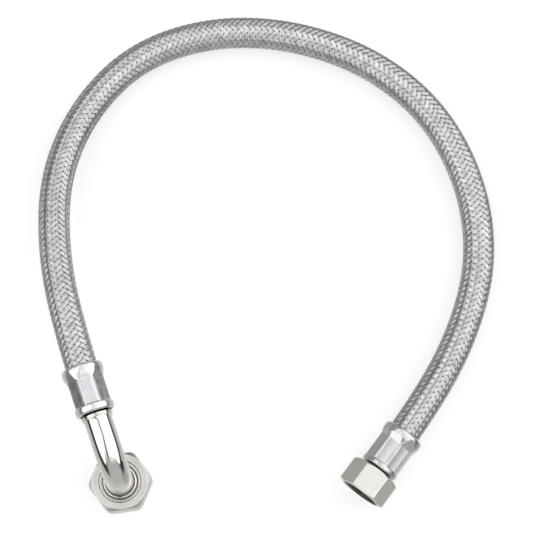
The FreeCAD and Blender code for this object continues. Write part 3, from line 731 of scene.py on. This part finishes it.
def nut(name, node, body, place, size):
    """Hexagon swivel nut: mouth at local Z = 0, helical thread, back wall at its full height."""
    theta = full_turn(360)
    z = np.concatenate([np.linspace(0, 2.2, 23), np.linspace(2.5, size.height - 3.2, 16),
                        np.linspace(size.height - 3.0, size.height, 34)])
    outer = nut_outside(size, theta, z)
    back_r, back_z = np.array(back_rings(size)).T
    thread_r, thread_z = thread(size, theta)
    rim = size.minor / 2 + size.sink
    mouth_r = np.r_[rim + 0.06, np.linspace(rim + 0.12, size.flats / 2 - 0.72, 3)]
    flat = np.zeros_like(theta)
    r = np.vstack([outer, back_r[:, None] + flat, thread_r, mouth_r[:, None] + flat])
    heights = np.vstack([z[:, None] + flat, back_z[:, None] + flat, thread_z,
                         0 * mouth_r[:, None] + flat])
    piece = quad_piece(name, round_grid(r, theta, heights), torus_faces(len(r), len(theta)),
                       body, nut_nickel, place=place)
    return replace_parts(piece, node)


nut("elbow_nut_hex", "elbow_nut", "elbow_swivel", upright(8.0), BIG_NUT)
nut("straight_nut_hex", "straight_nut", "straight_swivel", along(STRAIGHT_WAY, MOUTH, 33.5),
    SMALL_NUT)

for node in ("elbow_gasket", "straight_gasket"):
    item = bpy.data.objects[node]
    item.data.materials.clear()
    item.data.materials.append(gasket_rubber)

# ---------------------------------------------------------------- floor
FLOOR = 6.0              # half its width, in metres
floor_mesh = bpy.data.meshes.new("floor")
floor_mesh.from_pydata([(-FLOOR, -FLOOR, 0), (FLOOR, -FLOOR, 0), (FLOOR, FLOOR, 0),
                        (-FLOOR, FLOOR, 0)], [], [(0, 1, 2, 3)])
floor = bpy.data.objects.new("floor", floor_mesh)
scene.collection.objects.link(floor)
floor_material, tree, shader = nodes_of("floor_paint")
shader.inputs["Base Color"].default_value = (0.5, 0.5, 0.5, 1)
shader.inputs["Roughness"].default_value = 0.9
shader.inputs["Specular IOR Level"].default_value = 0.1
shader.inputs["Emission Color"].default_value = (1, 1, 1, 1)
shader.inputs["Emission Strength"].default_value = 0.62
floor_mesh.materials.append(floor_material)
floor.visible_glossy = False

# ---------------------------------------------------------------- studio light
# Light by direction: bright overhead panels with a slit between them, a dark band round the
# horizon that rises in front and behind, and a pale table below.
BACKDROP = 0.98          # what the camera sees past the floor
SLIT_LEVEL = 0.06        # light in the slit between the panels
HORIZON, FRONT_GLOW, BACK_GLOW = 0.04, 0.42, 0.26
FRONT_RISE, BACK_RISE = 0.56, 0.44
# Two directions that are a little darker, and how much light they keep.
SHADED_WAYS = ((0.832, -0.408, -0.376), (-0.521, 0.607, -0.600))
SHADED_LEVEL = 0.72

world = bpy.data.worlds.new("studio")
scene.world = world
world.use_nodes = True
tree = world.node_tree
tree.nodes.clear()
direction = add(tree, "ShaderNodeTexCoord").outputs["Generated"]
x, y, z = add(tree, "ShaderNodeSeparateXYZ", {"Vector": direction}).outputs


def math_node(operation, a, b=None):
    """One sum on sockets or numbers."""
    node = add(tree, "ShaderNodeMath", operation=operation)
    for socket, value in zip(node.inputs, (a, b)):
        if value is None:
            continue
        if isinstance(value, (int, float)):
            socket.default_value = value
        else:
            tree.links.new(value, socket)
    return node.outputs[0]


def plus(a, b):
    return math_node("ADD", a, b)


def minus(a, b):
    return math_node("SUBTRACT", a, b)


def times(a, b):
    return math_node("MULTIPLY", a, b)


def blend(share, a, b):
    """The value a where the share is 1, and b where it is 0."""
    return plus(times(share, a), times(minus(1.0, share), b))


def step_node(value, low, high, from_level=0.0, to_level=1.0):
    """A smooth step between two levels as the value goes from low to high."""
    return span(tree, value, from_level, to_level, low, high, interpolation_type="SMOOTHSTEP")


aside = math_node("ABSOLUTE", plus(times(x, 0.95), times(y, 0.32)))
inline = step_node(aside, 0.80, 0.50)
front = times(inline, step_node(y, -0.15, -0.55))
back = times(inline, step_node(y, 0.10, 0.40))
leaning = plus(z, times(x, 0.085))
edge = minus(minus(leaning, times(front, FRONT_RISE)), times(back, BACK_RISE))
panels = blend(front, step_node(edge, -0.02, 0.36), step_node(edge, 0.16, 0.26))
slit = step_node(math_node("DIVIDE", math_node("ABSOLUTE", plus(x, 0.07)), minus(1.0, y)),
                 0.04, 0.085)
sides = step_node(math_node("ABSOLUTE", x), 0.2, 0.6, 1.02, 1.3)
horizon = plus(plus(times(front, FRONT_GLOW), times(back, BACK_GLOW)), HORIZON)
upper = blend(panels, plus(times(slit, sides), SLIT_LEVEL), horizon)
below = step_node(leaning, -0.24, -0.13, 1.0, 0.0)
table = step_node(z, -0.95, -0.25, 0.70, 0.50)
level = blend(below, table, upper)
for way in SHADED_WAYS:
    nearness = add(tree, "ShaderNodeVectorMath", {0: direction}, operation="DOT_PRODUCT")
    nearness.inputs[1].default_value = way
    level = times(level, step_node(nearness.outputs["Value"], 0.88, 0.98, 1.0, SHADED_LEVEL))
to_camera = add(tree, "ShaderNodeLightPath").outputs["Is Camera Ray"]
warmth = add(tree, "ShaderNodeMix", {"Factor": below}, data_type="RGBA")
warmth.inputs["A"].default_value = (1, 1, 1, 1)
warmth.inputs["B"].default_value = (1.0, 0.985, 0.945, 1)
background = add(tree, "ShaderNodeBackground", {
    "Color": warmth.outputs["Result"],
    "Strength": blend(to_camera, BACKDROP, level),
})
add(tree, "ShaderNodeOutputWorld", {"Surface": background.outputs[0]})

scene.view_settings.view_transform = "Standard"
scene.view_settings.look = "None"
